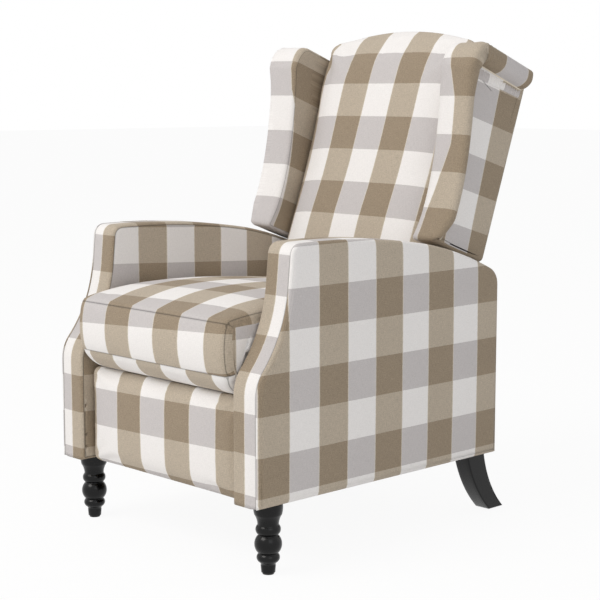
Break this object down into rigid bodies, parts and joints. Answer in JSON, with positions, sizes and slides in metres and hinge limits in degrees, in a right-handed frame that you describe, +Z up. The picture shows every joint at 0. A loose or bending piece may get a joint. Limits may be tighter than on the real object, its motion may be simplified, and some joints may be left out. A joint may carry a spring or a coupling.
{
  "type": "wingback recliner",
  "caption": "Push-back wingback armchair in checked fabric, with a leaning winged back, a front panel that lifts into a footrest, turned front legs and sabre rear legs.",
  "frame": {"origin": "on the floor under the middle of the chair's outer size, with the chair upright", "axes": "+X to the right of someone facing the chair, -Y to the chair's front, +Z up"},
  "size_m": [0.624, 0.8546, 1.0347],
  "materials": {
    "check_fabric": "woven cotton-look check in white, taupe and grey, matt",
    "leg_black": "black stained hardwood, semi-gloss",
    "timber": "planed pine, unfinished",
    "plywood": "birch plywood, unfinished",
    "linkage_steel": "black powder-coated pressed steel",
    "spring_steel": "zinc-coated spring wire",
    "bolt_steel": "zinc-plated steel",
    "webbing": "woven black elastic webbing",
    "glide": "black moulded plastic"
  },
  "bodies": {
    "base": {"arm_cover_left": "check_fabric", "arm_panel_left": "plywood", "arm_front_post_left": "timber", "arm_rear_post_left": "timber", "front_leg_left": "leg_black", "rear_leg_left": "leg_black", "base_plate_left": "linkage_steel", "arm_cover_right": "check_fabric", "arm_panel_right": "plywood", "arm_front_post_right": "timber", "arm_rear_post_right": "timber", "front_leg_right": "leg_black", "rear_leg_right": "leg_black", "base_plate_right": "linkage_steel", "front_cross_rail": "timber", "rear_cross_rail": "timber", "rear_panel": "check_fabric", "leg_bolts": "bolt_steel", "leg_glides": "glide", "base_screws": "bolt_steel"},
    "seat": {"carriage_plate_left": "linkage_steel", "carriage_plate_right": "linkage_steel", "seat_side_rail_left": "timber", "seat_side_rail_right": "timber", "seat_front_rail": "timber", "seat_rear_rail": "timber", "seat_springs": "spring_steel", "spring_clips": "spring_steel", "seat_cushion": "check_fabric"},
    "footrest": {"footrest_bracket_left": "linkage_steel", "footrest_bracket_right": "linkage_steel", "footrest_board": "plywood", "footrest_pad": "check_fabric"},
    "back": {"back_stile_left": "timber", "back_stile_right": "timber", "back_top_rail": "timber", "back_bottom_rail": "timber", "back_webbing": "webbing", "back_cushion": "check_fabric", "back_cover": "check_fabric", "wing_pad_left": "check_fabric", "wing_pad_right": "check_fabric", "wing_board_left": "plywood", "wing_board_right": "plywood", "back_bracket_left": "linkage_steel", "back_bracket_right": "linkage_steel"},
    "front_swing_link_left": {"front_swing_link_left": "linkage_steel"},
    "rear_swing_link_left": {"rear_swing_link_left": "linkage_steel"},
    "lift_arm_left": {"lift_arm_left": "linkage_steel"},
    "guide_arm_left": {"guide_arm_left": "linkage_steel"},
    "carrier_link_left": {"carrier_link_left": "linkage_steel"},
    "tie_link_left": {"tie_link_left": "linkage_steel"},
    "front_swing_link_right": {"front_swing_link_right": "linkage_steel"},
    "rear_swing_link_right": {"rear_swing_link_right": "linkage_steel"},
    "lift_arm_right": {"lift_arm_right": "linkage_steel"},
    "guide_arm_right": {"guide_arm_right": "linkage_steel"},
    "carrier_link_right": {"carrier_link_right": "linkage_steel"},
    "tie_link_right": {"tie_link_right": "linkage_steel"}
  },
  "joints": [
    {"name": "back_recline", "type": "hinge", "parent": "base", "child": "back", "pos_m": [0, 0.17, 0.4], "axis": [-1, 0, 0], "range_deg": [0, 35]},
    {"name": "front_swing_left", "type": "hinge", "parent": "base", "child": "front_swing_link_left", "pos_m": [0, -0.1483, 0.21], "axis": [-1, 0, 0], "range_deg": [-35, 0]},
    {"name": "rear_swing_left", "type": "hinge", "parent": "base", "child": "rear_swing_link_left", "pos_m": [0, 0.0317, 0.21], "axis": [-1, 0, 0], "range_deg": [-35, 0]},
    {"name": "front_swing_right", "type": "hinge", "parent": "base", "child": "front_swing_link_right", "pos_m": [0, -0.1483, 0.21], "axis": [-1, 0, 0], "range_deg": [-35, 0]},
    {"name": "rear_swing_right", "type": "hinge", "parent": "base", "child": "rear_swing_link_right", "pos_m": [0, 0.0317, 0.21], "axis": [-1, 0, 0], "range_deg": [-35, 0]},
    {"name": "seat_glide", "type": "hinge", "parent": "rear_swing_link_left", "child": "seat", "pos_m": [0, 0.05997, 0.29965], "axis": [-1, 0, 0], "range_deg": [0, 35]},
    {"name": "lift_arm_turn_left", "type": "hinge", "parent": "seat", "child": "lift_arm_left", "pos_m": [0, -0.28, 0.34], "axis": [-1, 0, 0], "range_deg": [0, 90]},
    {"name": "guide_arm_turn_left", "type": "hinge", "parent": "seat", "child": "guide_arm_left", "pos_m": [0, -0.2427, 0.3149], "axis": [-1, 0, 0], "range_deg": [0, 90]},
    {"name": "carrier_turn_left", "type": "hinge", "parent": "lift_arm_left", "child": "carrier_link_left", "pos_m": [0, -0.22015, 0.17555], "axis": [-1, 0, 0], "range_deg": [-90, 0]},
    {"name": "tie_turn_left", "type": "hinge", "parent": "lift_arm_left", "child": "tie_link_left", "pos_m": [0, -0.23451, 0.21502], "axis": [-1, 0, 0], "range_deg": [-90, 0]},
    {"name": "lift_arm_turn_right", "type": "hinge", "parent": "seat", "child": "lift_arm_right", "pos_m": [0, -0.28, 0.34], "axis": [-1, 0, 0], "range_deg": [0, 90]},
    {"name": "guide_arm_turn_right", "type": "hinge", "parent": "seat", "child": "guide_arm_right", "pos_m": [0, -0.2427, 0.3149], "axis": [-1, 0, 0], "range_deg": [0, 90]},
    {"name": "carrier_turn_right", "type": "hinge", "parent": "lift_arm_right", "child": "carrier_link_right", "pos_m": [0, -0.22015, 0.17555], "axis": [-1, 0, 0], "range_deg": [-90, 0]},
    {"name": "tie_turn_right", "type": "hinge", "parent": "lift_arm_right", "child": "tie_link_right", "pos_m": [0, -0.23451, 0.21502], "axis": [-1, 0, 0], "range_deg": [-90, 0]},
    {"name": "footrest_turn", "type": "hinge", "parent": "carrier_link_left", "child": "footrest", "pos_m": [0, -0.32012, 0.24283], "axis": [-1, 0, 0], "range_deg": [0, 90]}
  ],
  "couplings": [
    {"joint": "front_swing_left", "follows": "back_recline", "ratio": -1},
    {"joint": "rear_swing_left", "follows": "back_recline", "ratio": -1},
    {"joint": "front_swing_right", "follows": "back_recline", "ratio": -1},
    {"joint": "rear_swing_right", "follows": "back_recline", "ratio": -1},
    {"joint": "seat_glide", "follows": "back_recline", "ratio": 1},
    {"joint": "lift_arm_turn_left", "follows": "back_recline", "ratio": 2.5714},
    {"joint": "guide_arm_turn_left", "follows": "back_recline", "ratio": 2.5714},
    {"joint": "carrier_turn_left", "follows": "back_recline", "ratio": -2.5714},
    {"joint": "tie_turn_left", "follows": "back_recline", "ratio": -2.5714},
    {"joint": "lift_arm_turn_right", "follows": "back_recline", "ratio": 2.5714},
    {"joint": "guide_arm_turn_right", "follows": "back_recline", "ratio": 2.5714},
    {"joint": "carrier_turn_right", "follows": "back_recline", "ratio": -2.5714},
    {"joint": "tie_turn_right", "follows": "back_recline", "ratio": -2.5714},
    {"joint": "footrest_turn", "follows": "back_recline", "ratio": 2.5714}
  ]
}
